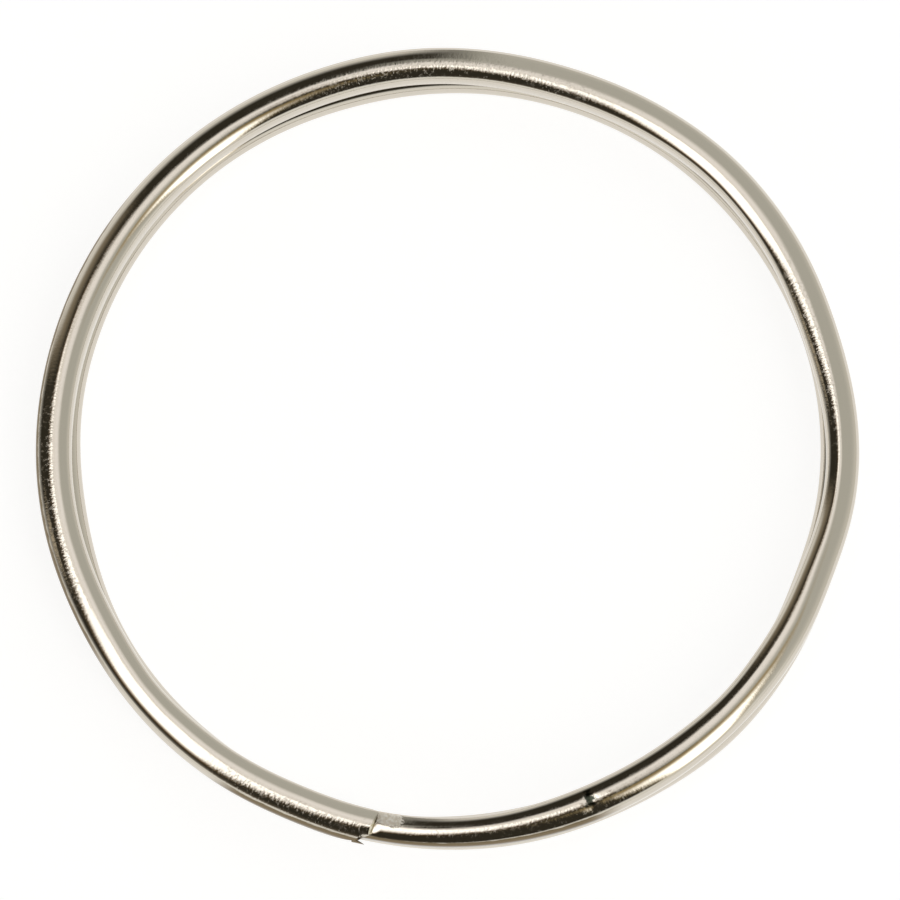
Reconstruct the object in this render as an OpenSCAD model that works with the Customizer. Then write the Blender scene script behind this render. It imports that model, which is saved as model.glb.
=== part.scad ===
// Split key ring: one length of drawn spring wire wound into two turns that lie on each other.
// The upper turn ends in a plain sheared cut. Just before that cut the wire steps down and
// carries on underneath as the lower turn, whose own end lies hidden below the step.
// The ring lies flat on Z = 0 with its axis along +Z. Lengths are in millimetres, angles in
// degrees, and angles round the ring are counted anticlockwise from +X, seen from above.

/* [Ring] */
// Outside diameter of each turn
ring_od = 50; // [30:1:80]
// How far both turns are out of round, on their radius
oval = 0.1; // [0:0.02:0.2]
// Direction of their longer axis
oval_dir = 140; // [0:5:175]
// How far both turns bulge at three places, on their radius
bulge = 0.04; // [0:0.01:0.1]
// Direction of the first bulge
bulge_dir = 15; // [0:5:115]

/* [Wire] */
// Width of the wire, across the ring
wire_w = 2.2; // [1.4:0.1:3.2]
// Thickness of the wire, along the ring's axis
wire_t = 1.7; // [1.2:0.1:2.6]
// Form of the wire's section: 2 is a plain oval, more is squarer
wire_form = 3; // [2:0.1:4]

/* [Turns] */
// Gap between the two turns
turn_gap = 0.04; // [0.02:0.01:0.2]
// How far the centre of the lower turn lies from that of the upper turn
turn_shift = 0.11; // [0:0.01:0.3]
// Direction in which the lower turn is shifted
shift_dir = 75; // [0:5:355]
// How much tighter the lower turn is wound, on its radius
inset = 0.1; // [0:0.02:0.3]
// How far the upper end has sprung out from the coil
spring_out = 0.2; // [0:0.02:0.4]
// Length of wire over which it springs out
spring_len = 14; // [5:1:20]

/* [Step] */
// Angle round the ring at which the upper end is cut
cut_angle = 258.5; // [180:0.5:360]
// Length of the step down, for each millimetre that it drops
step_run = 2.6; // [2:0.1:4]
// Part of the step that lies in sight ahead of the cut
step_in_sight = 0.28; // [0.26:0.01:0.4]
// How much narrower the wire is where it was gripped to form the step
pinch = 0.3; // [0:0.02:0.5]
// How far the die flattened the top of the wire ahead of the step
press = 0.3; // [0:0.02:0.4]
// Form of the flattened section
press_form = 4; // [2:0.1:5]
// Length of the flattened stretch
press_len = 14; // [6:1:16]

/* [Ends] */
// Clearance between a cut end and the step that passes it
end_gap = 0.06; // [0.02:0.01:0.2]
// Skew of the cut across the wire
cut_skew = 13; // [0:1:25]
// How far the shear dragged the top edge of the cut back
drag = 0.14; // [0:0.02:0.3]
// Length of the burr that the shear left on the upper end's outer edge
burr_len = 0.55; // [0.2:0.05:1]
// Thickness of the burr at its root
burr_t = 0.2; // [0.1:0.02:0.3]
// Height of the burr
burr_h = 0.5; // [0.2:0.05:0.8]

/* [Hidden] */

// Points round the wire's section, and the greatest angle between two sections
section_points = 20;
turn_pitch = 3;
step_rings = 16;

mid_r = (ring_od - wire_w) / 2;
drop = wire_t + turn_gap;
upper_z = wire_t / 2 + drop;
lower_z = wire_t / 2;
step_len = step_run * drop;

// The wire is followed by the angle t that it has gone round, clockwise from the upper end
step_deg = arc(step_len);
step_start = 360 - step_in_sight * step_deg;
step_end = step_start + step_deg;
wire_end = 720 + (1 - 2 * step_in_sight) * step_deg;
press_start = step_start - arc(press_len);

// Each end face stands over its lip, then leans back to clear the step that passes it
step_slope = atan(6 * step_in_sight * (1 - step_in_sight) / step_run);
crest_rise = wire_t / 2 * (1 / cos(step_slope) - 1);
lower_lip = drop * smooth(step_in_sight) - crest_rise - end_gap;
upper_lip = lower_lip + press * fade(step_in_sight);
lean_len = (1 - step_in_sight) * step_len;
end_blend = 5 * arc(lean_len);

function arc(len) = len / mid_r * 180 / PI;
function smooth(x) = x <= 0 ? 0 : x >= 1 ? 1 : x * x * (3 - 2 * x);
function fade(x) = 1 - smooth(abs(x));
function mix(a, b, x) = a + (b - a) * x;
function ramp(x) = min(max(x, 0), 1);

// How far down the step the wire is at t, from 0 to 1, and the slope of its centre line there
function step_at(t) = (t - step_start) / step_deg;
function centre_z(t) = mix(upper_z, lower_z, smooth(step_at(t)));
function slope(t) =
    let (x = step_at(t))
    x <= 0 || x >= 1 ? 0 : -atan(6 * x * (1 - x) / step_run);

// Radius of the wire's centre line, t degrees along it
function round_r(angle) =
    mid_r + oval * cos(2 * (angle - oval_dir)) + bulge * cos(3 * (angle - bulge_dir));
function upper_r(angle, t) = round_r(angle) + spring_out * fade(t / arc(spring_len));
function lower_r(angle) = round_r(angle) - inset + turn_shift * cos(angle - shift_dir);
function centre_r(angle, t) = mix(upper_r(angle, t), lower_r(angle), smooth(step_at(t)));

// Share of the flattening at t, and share of the pinch on each side of the step
function press_at(t) =
    t < step_start ? ramp((t - press_start) / arc(press_len)) : fade((t - step_start) / step_deg);
function pinch_at(t) =
    max(fade((t - step_start) / arc(press_len)), fade((wire_end - t) / arc(press_len)));

// A point of the section at t, across and above the centre line
function section(a, t) =
    let (e = 2 / mix(wire_form, press_form, press_at(t)))
    [
        sign(cos(a)) * pow(abs(cos(a)), e) * wire_w / 2,
        sign(sin(a)) * pow(abs(sin(a)), e) * wire_t / 2
    ];

// How far an end face stands back at a point of the section, in degrees round the ring
function face_back(across, depth, lip) =
    arc(
        tan(cut_skew) * across + drag * ramp(1 - depth / lip)
        + lean_len * max(0, depth - lip) / (wire_t - lip)
    );
function upper_back(q) = face_back(q[0], wire_t / 2 - q[1], upper_lip);
function lower_back(q) = face_back(-q[0], wire_t / 2 + q[1], lower_lip);

function wire_point(station, a) =
    let (
        q = section(a, station),
        t = station + upper_back(q) * max(0, 1 - station / end_blend)
            - lower_back(q) * max(0, 1 - (wire_end - station) / end_blend),
        lift = q[1] - press * press_at(t) * max(q[1], 0) / (wire_t / 2),
        angle = cut_angle - t + arc(lift * sin(slope(t))),
        r = centre_r(angle, t) + q[0] * (1 - pinch * pinch_at(t) / wire_w)
    )
    [r * cos(angle), r * sin(angle), centre_z(t) + lift * cos(slope(t))];

// The angles at which the wire's section is drawn: closer together down the step
function span(from, to, pitch) =
    let (n = ceil((to - from) / pitch))
    [for (i = [0 : n - 1]) from + (to - from) * i / n];
stations = concat(
    span(0, step_start, turn_pitch),
    span(step_start, step_end, step_deg / step_rings),
    span(step_end, wire_end, turn_pitch),
    [wire_end]
);

module wire() {
    n = section_points;
    last = (len(stations) - 1) * n;
    points = [for (s = stations) for (j = [0 : n - 1]) wire_point(s, 90 + 360 * j / n)];
    sides = [
        for (k = [0 : len(stations) - 2]) for (j = [0 : n - 1])
        let (a = k * n + j, b = k * n + (j + 1) % n)
        each [[a, b, a + n], [b, b + n, a + n]]
    ];
    // Each end face is a ladder of strips between section points at the same height
    ladder = concat(
        [for (j = [1 : n / 2 - 1]) [j, n - j, j + 1]],
        [for (j = [0 : n / 2 - 2]) [j + 1, (n - j) % n, n - j - 1]]
    );
    polyhedron(
        points,
        concat(sides, ladder, [for (f = ladder) [f[0] + last, f[2] + last, f[1] + last]])
    );
}

// Sliver of metal that the shear pulled out of the upper end's outer edge
module burr() {
    angle = cut_angle - upper_back([wire_w / 2, 0]);
    edge_r = upper_r(angle, 0) + wire_w / 2;
    rotate(angle)
        translate([edge_r, 0, upper_z - burr_h / 2])
        linear_extrude(burr_h)
        polygon([[-burr_t, -burr_len], [-burr_t / 8, -burr_len], [0, burr_len], [-burr_t, 0]]);
}

module split_ring() {
    color([0.74, 0.72, 0.68]) {
        wire();
        burr();
    }
}

split_ring();
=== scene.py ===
import math

import bpy
import numpy as np
from mathutils import Matrix, Vector


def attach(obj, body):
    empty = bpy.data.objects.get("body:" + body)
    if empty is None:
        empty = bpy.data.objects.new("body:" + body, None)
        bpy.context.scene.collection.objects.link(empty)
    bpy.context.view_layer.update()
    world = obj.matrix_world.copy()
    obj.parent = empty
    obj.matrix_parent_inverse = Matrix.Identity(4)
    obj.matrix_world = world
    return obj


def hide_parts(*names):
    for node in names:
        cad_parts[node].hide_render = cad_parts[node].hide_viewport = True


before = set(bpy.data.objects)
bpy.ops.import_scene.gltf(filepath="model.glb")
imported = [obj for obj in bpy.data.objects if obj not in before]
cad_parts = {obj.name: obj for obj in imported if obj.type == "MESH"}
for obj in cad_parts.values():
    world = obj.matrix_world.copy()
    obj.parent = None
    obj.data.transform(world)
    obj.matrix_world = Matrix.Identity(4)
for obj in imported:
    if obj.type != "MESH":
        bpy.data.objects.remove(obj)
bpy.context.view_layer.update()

# Sizes are in millimetres and angles in degrees, as on the drawing of the ring. Angles round the
# ring are counted anticlockwise from +X. Places on the wire are counted by the angle that it has
# gone round, clockwise from its upper end.
MM = 0.001

# The ring, and how far both turns are out of round
RING_OD = 50
OVAL = 0.1
OVAL_DIR = 140
BULGE = 0.04
BULGE_DIR = 15

# The wire, and the form of its section beside and above the middle: 2 is a plain oval, more is squarer
WIRE_W = 2.2
WIRE_T = 1.7
INNER_FORM = (2.3, 4)
OUTER_FORM = (2.1, 2.8)
LOWER_FORM = (2, 2.2)

# How the two turns lie on each other
TURN_GAP = 0.04
TURN_SHIFT = 0.11
SHIFT_DIR = 75
INSET = 0.1
SPRING_OUT = 0.2
SPRING_LEN = 14

# Waves left in each turn by the winding: where, over what half angle, and how far outward
WAVE_SPREAD = 1.4
UPPER_WAVES = (
    (14.5, 10, -0.19),
    (44, 8, 0.08),
    (70, 8, -0.07),
    (93, 9, 0.08),
    (158, 16, -0.05),
    (206, 12, -0.14),
    (247, 9, -0.19),
    (338, 6, -0.13),
    (353, 9, 0.1),
)
LOWER_WAVES = (
    (30, 15, -0.12),
    (103, 13, -0.14),
    (160, 12, -0.06),
    (188, 13, -0.27),
    (312, 10, 0.22),
    (338, 7, -0.14),
)

# Places where the upper turn's wire is thinner on its inner side
THINNED = (
    (219, 6, 0.1),
    (276, 9, 0.12),
    (315, 6, 0.1),
    (341, 12, 0.16),
    (358, 11, 0.14),
)

# The stretches where the rollers left the crown of the wire narrower: the first on both sides,
# the second on the inner side alone
RIDGE_FORM = (1.8, 3)
RIDGE_AT, RIDGE_HALF = 262, 38
INNER_RIDGE_AT, INNER_RIDGE_HALF, INNER_RIDGE_SHARE = 150, 42, 0.7

# The step down to the lower turn, and the stretch ahead of it that the die gripped
CUT_ANGLE = 258.5
STEP_RUN = 2.6
STEP_IN_SIGHT = 0.105
PINCH = 0.42
PRESS = 0.3
PRESS_INNER = (1.45, 2.6)
PRESS_OUTER = (2.7, 4)
PRESS_LEN = 14

# The dent that the die's edge left across the top
DENT_AT = 328.5
DENT_HALF = 0.9
DENT = 0.02

# The sheared ends, and the corner that tore away with the burr
END_GAP = 0.02
# The lower end stops this much short, and the upper end leans this much sooner, to clear the step
LOWER_SHORT = 0.4
UPPER_SOONER = 0.12
CUT_SKEW = 13
DRAG = 0.14
TORN_LEN = 0.7
TORN = (0.16, 0.32)
BURR_LEN = 0.6
BURR_T = 0.2
BURR_H = 0.5
BURR_ROOT = 0.2
BURR_POINTS = 12
# The burr's taper: shares of its length, and the share of its thickness left there
BURR_TAPER = ((0, 1), (0.25, 0.85), (0.5, 0.62), (0.75, 0.34), (0.95, 0.08))
BURR_FLATTENS = 0.7

# How finely the wire is drawn: the sections in each span, closest at the cut and at the dent
SECTION_POINTS = 64
SPANS = ((0, 40), (5, 600), (322, 40), (331, 50), (350, 90), (364, 620))
WIRE_SMOOTH_BELOW = 40
BURR_SMOOTH_BELOW = 50

MID_R = (RING_OD - WIRE_W) / 2
DROP = WIRE_T + TURN_GAP
STEP_LEN = STEP_RUN * DROP


def arc(length):
    """The angle round the ring of a length of wire."""
    return np.degrees(length / MID_R)


def smooth(x):
    """An even rise from 0 to 1."""
    x = np.clip(x, 0, 1)
    return x * x * (3 - 2 * x)


def fade(x):
    """1 at 0, and 0 from 1 on either side."""
    return 1 - smooth(abs(x))


def mix(a, b, x):
    return a + (b - a) * x


def cosine(angle):
    return np.cos(np.radians(angle))


STEP_DEG = arc(STEP_LEN)
STEP_START = 360 - STEP_IN_SIGHT * STEP_DEG
WIRE_END = 720 + (1 - 2 * STEP_IN_SIGHT) * STEP_DEG - arc(LOWER_SHORT)
PRESS_START = STEP_START - arc(PRESS_LEN)
STEP_SLOPE = math.atan(6 * STEP_IN_SIGHT * (1 - STEP_IN_SIGHT) / STEP_RUN)
CREST_RISE = WIRE_T / 2 * (1 / math.cos(STEP_SLOPE) - 1)
LOWER_LIP = DROP * smooth(STEP_IN_SIGHT) - CREST_RISE - END_GAP
UPPER_LIP = LOWER_LIP + PRESS * fade(STEP_IN_SIGHT) - UPPER_SOONER
LEAN_LEN = (1 - STEP_IN_SIGHT) * STEP_LEN
END_BLEND = 5 * arc(LEAN_LEN)
SPAN_ENDS = [start for start, count in SPANS[1:]] + [WIRE_END]
STATIONS = np.concatenate([
    np.linspace(start, end, count, endpoint=False) for (start, count), end in zip(SPANS, SPAN_ENDS)
] + [[WIRE_END]])
STEPS = len(STATIONS) - 1


def step_at(t):
    """How far along the step the wire is, t degrees from the upper end."""
    return (t - STEP_START) / STEP_DEG


def slope(t):
    """The fall of the wire down the step, in radians."""
    x = np.clip(step_at(t), 0, 1)
    return -np.arctan(6 * x * (1 - x) / STEP_RUN)


def waves(angle, places):
    """How far a turn waves outward at an angle round the ring."""
    out = 0
    for place, half, height in places:
        off = (angle - place + 180) % 360 - 180
        out = out + height * np.exp(-((off / half) ** 2) / WAVE_SPREAD)
    return out


def centre_r(angle, t):
    """Radius of the wire's middle line: the upper turn's, then the lower turn's."""
    true = MID_R + OVAL * cosine(2 * (angle - OVAL_DIR)) + BULGE * cosine(3 * (angle - BULGE_DIR))
    upper = true + SPRING_OUT * fade(t / arc(SPRING_LEN)) + waves(angle, UPPER_WAVES)
    lower = true - INSET + TURN_SHIFT * cosine(angle - SHIFT_DIR) + waves(angle, LOWER_WAVES)
    return mix(upper, lower, smooth(step_at(t)))


def press_at(t):
    """Share of the flattening that the die gave the top of the wire."""
    ahead = np.clip((t - PRESS_START) / arc(PRESS_LEN), 0, 1)
    return np.where(t < STEP_START, ahead, fade(step_at(t)))


def pinch_at(t):
    """Share of the narrowing that the die gave the wire, at the step and at the lower end."""
    at_step = fade((t - STEP_START) / arc(PRESS_LEN))
    return np.maximum(at_step, fade((WIRE_END - t) / arc(PRESS_LEN)))


def torn_at(t):
    """How much of the outer edge tore away at the upper end."""
    share = np.clip(1 - t / arc(TORN_LEN), 0, 1)
    return np.where(share > 0, mix(TORN[0], TORN[1], share), 0)


def dent_at(t):
    """Depth of the dent across the top."""
    return DENT * np.exp(-(((t - DENT_AT) / DENT_HALF) ** 2))


def face_back(across, depth, lip):
    """How far back a sheared end stands, in degrees: skewed on plan, leaning clear of the step."""
    lean = LEAN_LEN * np.clip(depth - lip, 0, None) / (WIRE_T - lip)
    drag = DRAG * np.clip(1 - depth / lip, 0, 1)
    return arc(math.tan(math.radians(CUT_SKEW)) * across + drag + lean)


def along_wire(station, across, lift):
    """Places of section points, across and above the middle line, at their stations on the wire."""
    from_cut = np.clip(1 - station / END_BLEND, 0, None)
    from_end = np.clip(1 - (WIRE_END - station) / END_BLEND, 0, None)
    t = station + face_back(across, WIRE_T / 2 - lift, UPPER_LIP) * from_cut
    t -= face_back(-across, WIRE_T / 2 + lift, LOWER_LIP) * from_end
    lift = lift - (PRESS * press_at(t) + dent_at(t)) * np.clip(lift, 0, None) / (WIRE_T / 2)
    fall = slope(t)
    angle = CUT_ANGLE - t + arc(lift * np.sin(fall))
    r = centre_r(angle, t) + across * (1 - PINCH * pinch_at(t) / WIRE_W)
    r -= torn_at(t) * np.clip(across, 0, None) / (WIRE_W / 2)
    thinned = waves(angle, THINNED) * (1 - smooth(step_at(t)))
    r += thinned * np.clip(-across, 0, None) / (WIRE_W / 2)
    z = WIRE_T / 2 + DROP * (1 - smooth(step_at(t))) + lift * np.cos(fall)
    angle = np.radians(angle)
    return np.stack([r * np.cos(angle), r * np.sin(angle), z], axis=1)


# ---------------------------------------------------------------- modelling

# Each piece carries its place on the wire, along, across and up, for the materials
PLACE_ON_WIRE = "place_on_wire"


def select_none():
    """Leaves any edit mode, with nothing selected."""
    if bpy.context.object and bpy.context.object.mode != "OBJECT":
        bpy.ops.object.mode_set(mode="OBJECT")
    bpy.ops.object.select_all(action="DESELECT")


def wound_wire():
    """An oval section, spun twice round the axis and laid along the ring's two turns."""
    select_none()
    bpy.ops.mesh.primitive_circle_add(vertices=SECTION_POINTS, radius=1)
    wire = bpy.context.object
    wire.name = "wound_wire"
    bpy.ops.object.mode_set(mode="EDIT")
    bpy.ops.mesh.select_all(action="SELECT")
    bpy.ops.transform.rotate(value=math.pi / 2, orient_axis="X", center_override=(0, 0, 0))
    bpy.ops.transform.resize(value=(WIRE_W / 2, 1, WIRE_T / 2), center_override=(0, 0, 0))
    bpy.ops.transform.translate(value=(MID_R, 0, 0))
    bpy.ops.mesh.spin(
        steps=STEPS,
        angle=4 * math.pi,
        center=(0, 0, 0),
        axis=(0, 0, 1),
        use_auto_merge=False,
    )
    bpy.ops.object.mode_set(mode="OBJECT")
    lay_along_turns(wire.data)
    close_ends(wire)
    return wire


def drawn(circle, stations):
    """The wire's section in half sizes: flatter faces and squarer corners than a plain oval's."""
    inner = circle[:, :1] < 0
    wound = np.where(inner, INNER_FORM, OUTER_FORM)
    inner_ridge = fade((stations - INNER_RIDGE_AT) / INNER_RIDGE_HALF)[:, None] * inner
    ridge = fade((stations - RIDGE_AT) / RIDGE_HALF)[:, None]
    ridge = np.maximum(ridge, INNER_RIDGE_SHARE * inner_ridge)
    wound = mix(wound, np.array(RIDGE_FORM), ridge)
    lower = smooth(step_at(stations))[:, None] * inner
    wound = mix(wound, np.array(LOWER_FORM), lower)
    form = mix(wound, np.where(inner, PRESS_INNER, PRESS_OUTER), press_at(stations)[:, None])
    return np.sign(circle) * np.abs(circle) ** (2 / form)


def lay_along_turns(mesh):
    """Moves the spun rings to their stations along the wire, with the section that the die gave it."""
    spun = np.empty(3 * len(mesh.vertices))
    mesh.vertices.foreach_get("co", spun)
    half = np.array([WIRE_W / 2, WIRE_T / 2])
    circle = (spun.reshape(-1, 3)[:SECTION_POINTS, [0, 2]] - [MID_R, 0]) / half
    stations = np.repeat(STATIONS, SECTION_POINTS)
    section = drawn(np.tile(circle, (STEPS + 1, 1)), stations) * half
    places = along_wire(stations, section[:, 0], section[:, 1]) * MM
    mesh.vertices.foreach_set("co", places.ravel())
    on_wire = np.column_stack([np.radians(stations) * MID_R, section])
    attribute = mesh.attributes.new(PLACE_ON_WIRE, "FLOAT_VECTOR", "POINT")
    attribute.data.foreach_set("vector", on_wire.ravel())
    mesh.update()


def select_sides(mesh, ring):
    """Selects the left and right edges of an end's outline, without those at its crown and foot."""
    ends = np.empty(2 * len(mesh.edges), dtype=int)
    mesh.edges.foreach_get("vertices", ends)
    ends = ends.reshape(-1, 2) - ring * SECTION_POINTS
    on_ring = ((ends >= 0) & (ends < SECTION_POINTS)).all(axis=1)
    chosen = on_ring & ~np.isin(ends, [0, SECTION_POINTS // 2]).any(axis=1)
    corners = np.zeros(len(mesh.vertices), dtype=bool)
    corners[ends[chosen].ravel() + ring * SECTION_POINTS] = True
    mesh.vertices.foreach_set("select", corners)
    mesh.edges.foreach_set("select", chosen)
    mesh.polygons.foreach_set("select", np.zeros(len(mesh.polygons), dtype=bool))


def close_ends(wire):
    """Fills both sheared ends with strips from side to side, level across the wire."""
    select_none()
    wire.select_set(True)
    bpy.context.view_layer.objects.active = wire
    bpy.context.tool_settings.mesh_select_mode = (False, True, False)
    for ring in (0, STEPS):
        select_sides(wire.data, ring)
        bpy.ops.object.mode_set(mode="EDIT")
        bpy.ops.mesh.bridge_edge_loops()
        bpy.ops.object.mode_set(mode="OBJECT")
    bpy.ops.object.mode_set(mode="EDIT")
    bpy.ops.mesh.select_all(action="SELECT")
    bpy.ops.mesh.fill_holes(sides=4)
    bpy.ops.mesh.select_all(action="SELECT")
    bpy.ops.mesh.normals_make_consistent(inside=False)
    bpy.ops.object.mode_set(mode="OBJECT")
    bpy.ops.object.shade_smooth_by_angle(angle=math.radians(WIRE_SMOOTH_BELOW))


def finish_ends(wire, sheared):
    """Gives the end faces their own bare, scored finish."""
    wire.data.materials.append(sheared)
    for face in wire.data.polygons:
        rings = {corner // SECTION_POINTS for corner in face.vertices}
        if rings == {0} or rings == {STEPS}:
            face.material_index = 1


def shear_burr():
    """A flat sliver that tapers to a point, standing straight on from the torn outer edge."""
    select_none()
    bpy.ops.mesh.primitive_circle_add(vertices=BURR_POINTS, radius=1)
    burr = bpy.context.object
    burr.name = "shear_burr"
    bpy.ops.object.mode_set(mode="EDIT")
    bpy.ops.mesh.select_all(action="SELECT")
    bpy.ops.transform.rotate(value=math.pi / 2, orient_axis="Y", center_override=(0, 0, 0))
    bpy.ops.transform.resize(value=(1, BURR_T / 2, BURR_H / 2), center_override=(0, 0, 0))
    bpy.ops.transform.translate(value=(-BURR_ROOT, -BURR_T / 2, 0))
    bpy.ops.mesh.edge_face_add()
    behind = -BURR_ROOT
    thick = BURR_T
    for length_share, thick_share in BURR_TAPER:
        ahead = BURR_LEN * length_share
        thinner = BURR_T * thick_share
        onward = (ahead - behind, (thick - thinner) / 2, 0)
        bpy.ops.mesh.extrude_region_move(TRANSFORM_OT_translate={"value": onward})
        bpy.ops.transform.resize(
            value=(1, thinner / thick, (thinner / thick) ** BURR_FLATTENS),
            center_override=(ahead, -thinner / 2, 0),
        )
        behind = ahead
        thick = thinner
    bpy.ops.mesh.select_all(action="SELECT")
    bpy.ops.mesh.normals_make_consistent(inside=False)
    bpy.ops.object.mode_set(mode="OBJECT")
    angle = CUT_ANGLE - arc(TORN_LEN) - arc(math.tan(math.radians(CUT_SKEW)) * WIRE_W / 2)
    edge_r = centre_r(angle, CUT_ANGLE - angle) + WIRE_W / 2
    turn = math.radians(angle)
    out = np.array([math.cos(turn), math.sin(turn), 0])
    past_cut = np.array([-math.sin(turn), math.cos(turn), 0])
    upper_z = WIRE_T / 2 + DROP
    on_wire = burr.data.attributes.new(PLACE_ON_WIRE, "FLOAT_VECTOR", "POINT")
    for corner, place in zip(burr.data.vertices, on_wire.data):
        x, y, z = corner.co
        place.vector = (TORN_LEN - x, WIRE_W / 2 + y, z)
        level = out * (edge_r + y) + past_cut * x
        corner.co = Vector((level + np.array([0, 0, upper_z + z])) * MM)
    burr.data.update()
    bpy.ops.object.shade_smooth_by_angle(angle=math.radians(BURR_SMOOTH_BELOW))
    return burr


# ---------------------------------------------------------------- materials


class NodeMaker:
    """A new material, and short makers for the nodes that it uses most."""

    def __init__(self, name):
        self.material = bpy.data.materials.new(name)
        self.material.use_nodes = True
        self.nodes = self.material.node_tree.nodes
        self.links = self.material.node_tree.links
        self.nodes.clear()

    def feed(self, socket, value):
        """Sets a socket to a number or colour, or links it to an output."""
        if isinstance(value, (int, float, tuple)):
            socket.default_value = value
        else:
            self.links.new(value, socket)

    def number(self, kind, *values):
        node = self.nodes.new("ShaderNodeMath")
        node.operation = kind
        for socket, value in zip(node.inputs, values):
            self.feed(socket, value)
        return node.outputs[0]

    def vector(self, kind, *values):
        node = self.nodes.new("ShaderNodeVectorMath")
        node.operation = kind
        for socket, value in zip(node.inputs, values):
            self.feed(socket, value)
        return node

    def between(self, value, ends, results=(0, 1)):
        """An even change from the first result to the second as the value goes from end to end."""
        node = self.nodes.new("ShaderNodeMapRange")
        node.interpolation_type = "SMOOTHSTEP"
        self.feed(node.inputs["Value"], value)
        node.inputs["From Min"].default_value = ends[0]
        node.inputs["From Max"].default_value = ends[1]
        node.inputs["To Min"].default_value = results[0]
        node.inputs["To Max"].default_value = results[1]
        return node.outputs[0]

    def off(self, value, middle):
        """How far a value is from the middle of its stretch, on either side."""
        return self.number("ABSOLUTE", self.number("SUBTRACT", value, middle))

    def grain(self, place, stretch, detail, roughness):
        noise = self.nodes.new("ShaderNodeTexNoise")
        noise.inputs["Scale"].default_value = 1
        noise.inputs["Detail"].default_value = detail
        noise.inputs["Roughness"].default_value = roughness
        self.feed(noise.inputs["Vector"], self.vector("MULTIPLY", place, stretch).outputs[0])
        return noise.outputs[0]

    def tinted(self, share, below, above):
        """A colour that goes from the first to the second with the share."""
        node = self.nodes.new("ShaderNodeMix")
        node.data_type = "RGBA"
        self.feed(node.inputs[0], share)
        self.feed(node.inputs[6], opaque(below))
        self.feed(node.inputs[7], opaque(above))
        return node.outputs[2]

    def parts(self, vector):
        """The three parts of a vector."""
        node = self.nodes.new("ShaderNodeSeparateXYZ")
        self.links.new(vector, node.inputs[0])
        return node.outputs

    def place_on_wire(self):
        """The place that each piece carries, in millimetres."""
        attribute = self.nodes.new("ShaderNodeAttribute")
        attribute.attribute_name = PLACE_ON_WIRE
        return attribute.outputs["Vector"]

    def surface(self, shader):
        """Puts a shader on the surface and gives back the material."""
        out = self.nodes.new("ShaderNodeOutputMaterial")
        self.links.new(shader.outputs[0], out.inputs[0])
        return self.material

    def metal(self, colour, rough, height):
        """Bare or plated metal, with its relief given in millimetres."""
        bump = self.nodes.new("ShaderNodeBump")
        bump.inputs["Strength"].default_value = 1
        bump.inputs["Distance"].default_value = MM
        self.links.new(height, bump.inputs["Height"])
        shader = self.nodes.new("ShaderNodeBsdfPrincipled")
        shader.inputs["Metallic"].default_value = 1
        self.links.new(colour, shader.inputs["Base Color"])
        self.links.new(rough, shader.inputs["Roughness"])
        self.links.new(bump.outputs[0], shader.inputs["Normal"])
        return self.surface(shader)


def opaque(colour):
    """Gives a plain colour its alpha, and leaves an output as it is."""
    return (*colour, 1) if isinstance(colour, tuple) else colour


# The grains of the surface: how close they are along, across and through the wire, then how many
# finer layers they have and how strong those are
CHATTER_GRAIN = ((7, 4, 4), 2, 0.6)
DRAWN_GRAIN = ((0.12, 9, 9), 1, 0.5)
WAVY_GRAIN = ((0.3, 0.6, 0.6), 1, 0.5)
RAGGED_GRAIN = ((3, 3, 3), 3, 0.7)
TORN_GRAIN = ((6, 6, 6), 3, 0.7)
# Grain of the ragged edge of the painted brown reflection on the outer wall
PAINTED_BROWN_EDGE_GRAIN = ((1.5, 5, 5), 2, 0.5)
SMEAR_GRAIN = ((1.2, 3, 3), 3, 0.5)
PIT_GRAIN = ((6, 4.5, 4.5), 2, 0.6)
SCORED_GRAIN = ((1, 14, 2), 3, 0.6)

# Depths of the surface marks, in millimetres
CHATTER_DEPTH = 0.0065
DRAWN_DEPTH = 0.001
WAVY_DEPTH = 0.012
TORN_DEPTH = 0.06
SCORED_DEPTH = 0.02

# Stretches that the rollers and the die marked most: the middle and half length of each in
# millimetres along the wire, how strong the marks are, and 1 for the outer side or -1 for the inner
MARKED = [
    ("end", 5, 8, 1, 1),
    ("near_left", 30, 10, 1, 1),
    ("far_side", 72, 14, 1, -1),
    ("right_side", 103, 9, 1, -1),
    ("die", 141, 10, 0.6, 1),
]
PLAIN_MARKS = 0.2
MARKS_FULL = 0.4
MARKS_SIDE = (-0.2, 0.05)

# The torn patch on the inner half of the wire just past the cut, in millimetres along and across,
# with how soft its two ends are, how high its lower edge is, and how ragged its outline is
PATCH_ALONG = (148.5, 149.95)
PATCH_ACROSS = (-0.2, -0.02)
PATCH_SOFT = (0.08, 0.1)
PATCH_UP = (0, 0.1)
RAGGED_ALONG, RAGGED_ACROSS = 1.2, 0.9

# The painted dark reflection in the dent: how far it reaches along the wire, and across from its
# middle
PAINTED_DENT_ALONG = (0.16, 0.42)
PAINTED_DENT_MIDDLE = -0.18
PAINTED_DENT_ACROSS = (0.42, 0.62)

# Stretches of the outer wall with a painted brown reflection, by the middle and half length of each,
# the share of each at full strength, and where on the wall the painted reflection begins
PAINTED_BROWN_STRETCHES = [
    ("end", 2, 8),
    ("left", 34, 17),
    ("before_cut", 144, 9),
]
PAINTED_BROWN_FULL = 0.7
PAINTED_BROWN_FROM = (0.92, 1.0)
PAINTED_BROWN_EDGE_REACH = 0.12

# How rough the plate is where it is clean and where it is smeared, and what the marks add
SMEAR_SHARE = (0.35, 0.75)
PLATE_ROUGH = (0.045, 0.1)
PATCH_ROUGH = 0.36
PIT_SHARE = (0.52, 0.64)
PIT_ROUGH = 0.2

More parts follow.
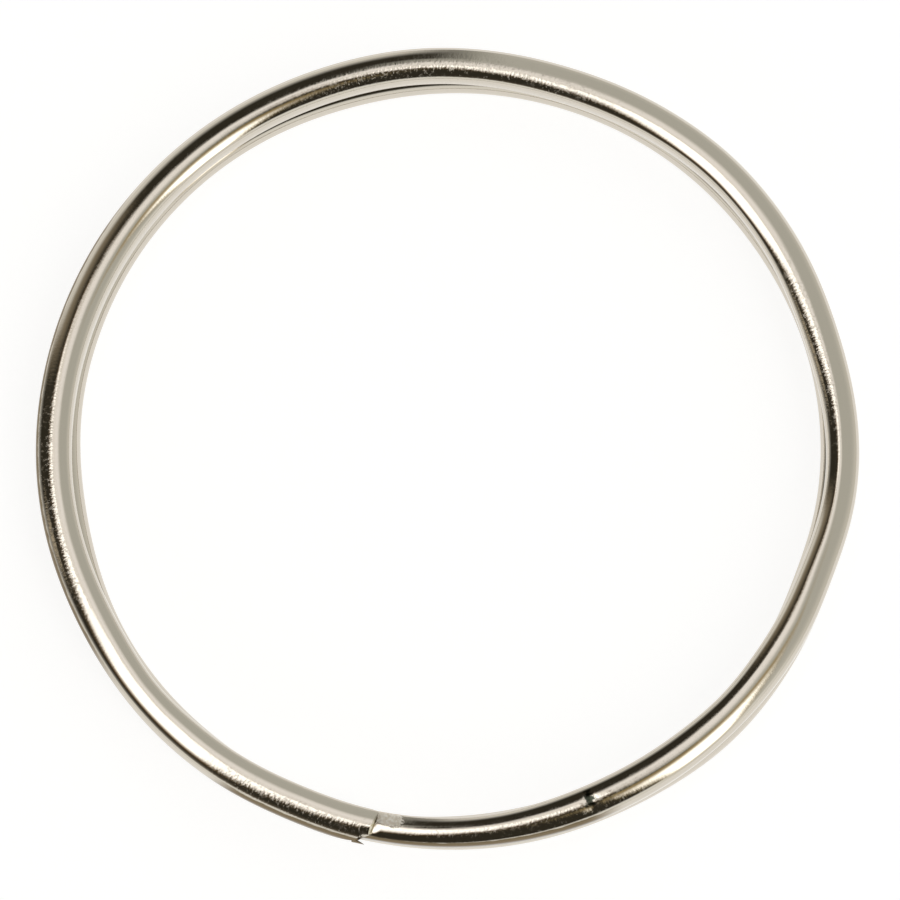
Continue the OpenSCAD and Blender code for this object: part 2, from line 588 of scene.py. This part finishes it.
# Colours of the metal
PLATE = (0.66, 0.61, 0.53)
TORN_DULL = (0.78, 0.71, 0.61)
TORN_BRIGHT = (1, 0.97, 0.92)
FLECK_SHARE, FLECKS = (0.42, 0.66), 0.8
# Painted brown reflection on the outer wall
PAINTED_BROWN_REFLECTION = (0.2, 0.155, 0.095)
# Painted dark reflection in the dent
PAINTED_DENT_REFLECTION = (0.045, 0.05, 0.036)
STEEL_DULL = (0.7, 0.64, 0.46)
STEEL_BRIGHT = (1, 0.97, 0.84)
STEEL_SHARE = (0.3, 0.6)
# Painted shade on the inner side of the end face
STEEL_INNER_PAINTED_SHADE = (0.3, 0.28, 0.23)
STEEL_PAINTED_SHADE_EDGE = (-0.7, 0.1)
STEEL_ROUGH_SHARE, STEEL_ROUGH = (0.3, 0.7), (0.3, 0.5)


def nickel_plate():
    """Bright plate over drawn wire, with fine chatter across it and a matt patch where it tore, and
    with a painted brown reflection on the outer wall and a painted dark reflection in the dent.
    """
    make = NodeMaker("nickel_plate")
    place = make.place_on_wire()
    along, across, up = make.parts(place)

    # How strong the chatter and the pits are
    on_side = {
        side: make.between(make.number("MULTIPLY", across, side), MARKS_SIDE) for side in (1, -1)
    }
    share = PLAIN_MARKS
    for _, middle, half, strength, side in MARKED:
        marks = make.between(make.off(along, middle), (half * MARKS_FULL, half), (strength, 0))
        share = make.number("MAXIMUM", share, make.number("MULTIPLY", marks, on_side[side]))

    # The torn patch
    ragged = make.number("SUBTRACT", make.grain(place, *RAGGED_GRAIN), 0.5)
    ragged_along = make.number("MULTIPLY", ragged, RAGGED_ALONG)
    u = make.number("ADD", along, ragged_along)
    v = make.number("ADD", across, make.number("MULTIPLY", ragged, RAGGED_ACROSS))
    starts, stops = PATCH_ALONG
    patch = make.number(
        "MULTIPLY",
        make.between(u, (starts, starts + PATCH_SOFT[0])),
        make.between(v, PATCH_ACROSS, (1, 0)),
    )
    patch = make.number("MULTIPLY", patch, make.between(along, (stops, stops + PATCH_SOFT[1]), (1, 0)))
    patch = make.number("MULTIPLY", patch, make.between(up, PATCH_UP))
    torn_grain = make.grain(place, *TORN_GRAIN)

    # The painted dark reflection in the dent
    from_dent = make.number("ADD", make.off(along, math.radians(DENT_AT) * MID_R), ragged_along)
    painted_dent_dark = make.number(
        "MULTIPLY",
        make.between(from_dent, PAINTED_DENT_ALONG, (1, 0)),
        make.between(make.off(across, PAINTED_DENT_MIDDLE), PAINTED_DENT_ACROSS, (1, 0)),
    )

    # The painted brown reflection on the outer wall
    painted_brown = 0
    for _, middle, half in PAINTED_BROWN_STRETCHES:
        stretch = make.between(make.off(along, middle), (half * PAINTED_BROWN_FULL, half), (1, 0))
        painted_brown = make.number("MAXIMUM", painted_brown, stretch)
    painted_brown_edge = make.number("MULTIPLY", make.grain(place, *PAINTED_BROWN_EDGE_GRAIN), PAINTED_BROWN_EDGE_REACH)
    wall = make.between(make.number("ADD", across, painted_brown_edge), PAINTED_BROWN_FROM)
    painted_brown = make.number("MULTIPLY", painted_brown, wall)

    reliefs = [
        (make.number("MULTIPLY", make.grain(place, *CHATTER_GRAIN), share), CHATTER_DEPTH),
        (make.grain(place, *DRAWN_GRAIN), DRAWN_DEPTH),
        (make.grain(place, *WAVY_GRAIN), WAVY_DEPTH),
        (make.number("MULTIPLY", torn_grain, patch), TORN_DEPTH),
    ]
    height = 0
    for relief, depth in reliefs:
        height = make.number("ADD", height, make.number("MULTIPLY", relief, depth))

    pits = make.number("MULTIPLY", make.between(make.grain(place, *PIT_GRAIN), PIT_SHARE), share)
    rough = make.between(make.grain(place, *SMEAR_GRAIN), SMEAR_SHARE, PLATE_ROUGH)
    rough = make.number("ADD", rough, make.number("MULTIPLY", patch, PATCH_ROUGH))
    rough = make.number("ADD", rough, make.number("MULTIPLY", pits, PIT_ROUGH))

    flecks = make.number("MULTIPLY", make.between(torn_grain, FLECK_SHARE), FLECKS)
    colour = make.tinted(patch, PLATE, make.tinted(flecks, TORN_DULL, TORN_BRIGHT))
    # Painted brown reflection on the outer wall
    colour = make.tinted(painted_brown, colour, PAINTED_BROWN_REFLECTION)
    # Painted dark reflection in the dent
    colour = make.tinted(painted_dent_dark, colour, PAINTED_DENT_REFLECTION)
    return make.metal(colour, rough, height)


def sheared_steel():
    """The bare end face: scored from top to bottom by the shear, with painted shade on its inner side.
    """
    make = NodeMaker("sheared_steel")
    place = make.place_on_wire()
    across = make.parts(place)["Y"]
    scored = make.grain(place, *SCORED_GRAIN)
    bare = make.tinted(make.between(scored, STEEL_SHARE), STEEL_DULL, STEEL_BRIGHT)
    # Painted shade on the inner side of the end face
    colour = make.tinted(make.between(across, STEEL_PAINTED_SHADE_EDGE), STEEL_INNER_PAINTED_SHADE, bare)
    rough = make.between(scored, STEEL_ROUGH_SHARE, STEEL_ROUGH)
    return make.metal(colour, rough, make.number("MULTIPLY", scored, SCORED_DEPTH))


# The ring is looked at and lit from headings that are all turned by this much
VIEW_TURN = -2.4

# The tent's lights are laid out on a flat plan of the sky, where the distance from the middle
# is the angle from straight up. All of them fan out from one point, which is the place that
# the level top of the wire mirrors to the eye.
MIRROR_POINT = (-4.3, 13.2)
DARK = (0.036, 0.032, 0.023)
NO_END = (120, 121)

# Each wall has its heading, half its spread and how soft its sides are, then the distances over
# which it begins and ends, and its light
WALLS = [
    ("dark_side_glow", 150, 50, 15, (0, 1), (1.5, 9), (1.1, 1.07, 1.04)),
    ("grey_wall_top", 20, 79, 7, (0, 2), (8, 20), (0.57, 0.575, 0.535)),
    ("grey_wall", 20, 67, 6, (0, 2), NO_END, (0.57, 0.575, 0.535)),
    ("right_wall", 20, 62, 12, (42, 85), NO_END, (0.74, 0.735, 0.69)),
    ("brown_wall", 155, 10, 6, (10, 34), NO_END, (0.26, 0.22, 0.16)),
    ("far_wall", 118, 24, 8, (32, 64), NO_END, (0.86, 0.85, 0.81)),
    ("far_corner", 148, 10, 8, (32, 60), NO_END, (0.86, 0.85, 0.81)),
    ("left_wall", 197, 34, 12, (52, 96), NO_END, (0.86, 0.85, 0.81)),
    ("near_wall", 245, 16, 14, (48, 92), NO_END, (0.24, 0.2, 0.15)),
    ("low_wall", 268, 62, 12, (66, 79), NO_END, (0.93, 0.93, 0.9)),
    ("top_panel", 15, 80, 10, (0, 1), (3, 14), (1.12, 1.1, 1.1)),
    ("middle", 0, 170, 9, (-2, -1), (1.5, 4), (1.12, 1.1, 1.1)),
]

# Each card has its heading, the distances over which it begins and ends, half its width and how
# soft its sides are, and its light
CARDS = [
    ("window", 194, (36, 46), (56, 72), 3.5, 3, (0.5, 0.44, 0.34)),
    ("softbox_rim", 223.5, (1, 4), (34, 56), 9, 4, (0.3, 0.2, 0.1)),
    ("softbox", 223.5, (1, 5), (28, 46), 7, 3, (2.0, 2.0, 2.0)),
    ("lamp_rim", 311, (12, 22), (70, 96), 9, 4, (0.42, 0.33, 0.18)),
    ("strip_lamp", 311, (20, 38), (64, 88), 6.8, 3.5, (2.6, 2.6, 2.5)),
]


# The tent is a dome 1 m in radius, cut off just below the table
TENT_FOOT = -0.01


def light_tent():
    """A dome of cards round the ring, seen only in its reflections."""
    select_none()
    bpy.ops.mesh.primitive_uv_sphere_add(segments=96, ring_count=48, radius=1)
    tent = bpy.context.object
    tent.name = "light_tent"
    bpy.ops.object.mode_set(mode="EDIT")
    bpy.ops.mesh.select_all(action="SELECT")
    bpy.ops.mesh.bisect(plane_co=(0, 0, TENT_FOOT), plane_no=(0, 0, 1), clear_inner=True)
    bpy.ops.object.mode_set(mode="OBJECT")
    tent.data.materials.append(tent_cards())
    tent.visible_camera = False
    tent.visible_shadow = False


def tent_cards():
    """The light of the dome: dark, with soft walls and cards laid over each other in turn."""
    make = NodeMaker("tent_cards")

    def outside(value, ends):
        return make.number("SUBTRACT", 1, make.between(value, ends))

    def along(vector, heading):
        turned = math.radians(heading + VIEW_TURN)
        towards = (math.cos(turned), math.sin(turned), 0)
        return make.vector("DOT_PRODUCT", vector, towards).outputs["Value"]

    def lit(name, light, masks, colour):
        mask = masks[0]
        for more in masks[1:]:
            mask = make.number("MULTIPLY", mask, more)
        mixed = make.tinted(mask, light, colour)
        mixed.node.label = name
        return mixed

    place = make.nodes.new("ShaderNodeTexCoord").outputs["Object"]
    ray = make.vector("NORMALIZE", place).outputs[0]
    upward = make.parts(ray)["Z"]
    polar = make.number("MULTIPLY", make.number("ARCCOSINE", upward), math.degrees(1))
    level = make.vector("MULTIPLY", ray, (1, 1, 0)).outputs[0]
    level = make.vector("NORMALIZE", level).outputs[0]
    spread_out = make.vector("SCALE", level)
    make.feed(spread_out.inputs["Scale"], polar)
    mirror_point = Matrix.Rotation(math.radians(VIEW_TURN), 2) @ Vector(MIRROR_POINT)
    plan = make.vector("SUBTRACT", spread_out.outputs[0], (*mirror_point, 0)).outputs[0]
    distance = make.vector("LENGTH", plan).outputs["Value"]
    direction = make.vector("NORMALIZE", plan).outputs[0]

    light = DARK
    for name, heading, spread, soft, begins, ends, colour in WALLS:
        facing = (cosine(spread + soft), cosine(spread - soft))
        sides = make.between(along(direction, heading), facing)
        masks = [sides, make.between(distance, begins), outside(distance, ends)]
        light = lit(name, light, masks, colour)
    for name, heading, begins, ends, half, soft, colour in CARDS:
        across = make.number("ABSOLUTE", along(plan, heading + 90))
        length = along(plan, heading)
        sides = outside(across, (half - soft, half + soft))
        masks = [make.between(length, begins), outside(length, ends), sides]
        light = lit(name, light, masks, colour)
    emission = make.nodes.new("ShaderNodeEmission")
    make.feed(emission.inputs["Color"], light)
    return make.surface(emission)


# The table takes the ring's shadow with one share of its surface. The rest looks plain white to
# the camera and in the metal.
TABLE_WHITE = (0.9, 0.9, 0.9, 1)
PLAIN_STRENGTH = 1.36
PLAIN_SHARE = 0.6


def white_table():
    """A plain white table top under the ring, which keeps the ring's soft shadow."""
    select_none()
    bpy.ops.mesh.primitive_circle_add(vertices=96, radius=1, fill_type="NGON")
    table = bpy.context.object
    table.name = "table_top"
    make = NodeMaker("table_white")
    diffuse = make.nodes.new("ShaderNodeBsdfDiffuse")
    diffuse.inputs["Color"].default_value = TABLE_WHITE
    plain = make.nodes.new("ShaderNodeEmission")
    plain.inputs["Strength"].default_value = PLAIN_STRENGTH
    path = make.nodes.new("ShaderNodeLightPath").outputs
    seen = make.number("MAXIMUM", path["Is Camera Ray"], path["Is Glossy Ray"])
    seen = make.number("MAXIMUM", seen, path["Is Transmission Ray"])
    mixed = make.nodes.new("ShaderNodeMixShader")
    make.feed(mixed.inputs[0], make.number("MULTIPLY", seen, PLAIN_SHARE))
    make.feed(mixed.inputs[1], diffuse.outputs[0])
    make.feed(mixed.inputs[2], plain.outputs[0])
    table.data.materials.append(make.surface(mixed))


def white_world():
    """An even white room round the tent."""
    world = bpy.data.worlds.new("white_room")
    world.use_nodes = True
    world.node_tree.nodes["Background"].inputs["Color"].default_value = (1, 1, 1, 1)
    world.node_tree.nodes["Background"].inputs["Strength"].default_value = 1
    bpy.context.scene.world = world


# ---------------------------------------------------------------- camera

CAMERA_AZIMUTH = 287
CAMERA_TILT = 14
CAMERA_DISTANCE = 322
SENSOR_W = 36
CLIP_M = (0.01, 10)

# Width of the picture, the size of a pixel on the ring, and where the ring's centre stands
PICTURE_PX = 900
PX = 0.06055
RING_CENTRE_PX = (443.4, 438.9)


def camera():
    """Looks down on the ring, a little off the vertical, with the cut at the bottom left."""
    data = bpy.data.cameras.new("camera")
    cam = bpy.data.objects.new("camera", data)
    bpy.context.scene.collection.objects.link(cam)
    azimuth = math.radians(CAMERA_AZIMUTH + VIEW_TURN)
    tilt = math.radians(CAMERA_TILT)
    back = Vector((
        math.sin(tilt) * math.cos(azimuth),
        math.sin(tilt) * math.sin(azimuth),
        math.cos(tilt),
    ))
    level = Vector((math.cos(math.radians(VIEW_TURN)), math.sin(math.radians(VIEW_TURN)), 0))
    right = (level - back * back.dot(level)).normalized()
    up = back.cross(right)
    off_x = (PICTURE_PX / 2 - RING_CENTRE_PX[0]) * PX
    off_y = (RING_CENTRE_PX[1] - PICTURE_PX / 2) * PX
    centre = Vector((0, 0, WIRE_T + DROP))
    place = centre + back * CAMERA_DISTANCE + right * off_x + up * off_y
    turn = Matrix((right, up, back)).transposed()
    cam.matrix_world = Matrix.Translation(place * MM) @ turn.to_4x4()
    data.sensor_width = SENSOR_W
    data.lens = data.sensor_width * CAMERA_DISTANCE / (PICTURE_PX * PX)
    data.clip_start, data.clip_end = CLIP_M
    bpy.context.scene.camera = cam


nickel = nickel_plate()
wire = wound_wire()
wire.data.materials.append(nickel)
finish_ends(wire, sheared_steel())
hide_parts("split_ring")
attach(wire, "root")
burr = shear_burr()
burr.data.materials.append(nickel)
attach(burr, "root")
light_tent()
white_table()
white_world()
camera()
bpy.context.scene.view_settings.view_transform = "Standard"
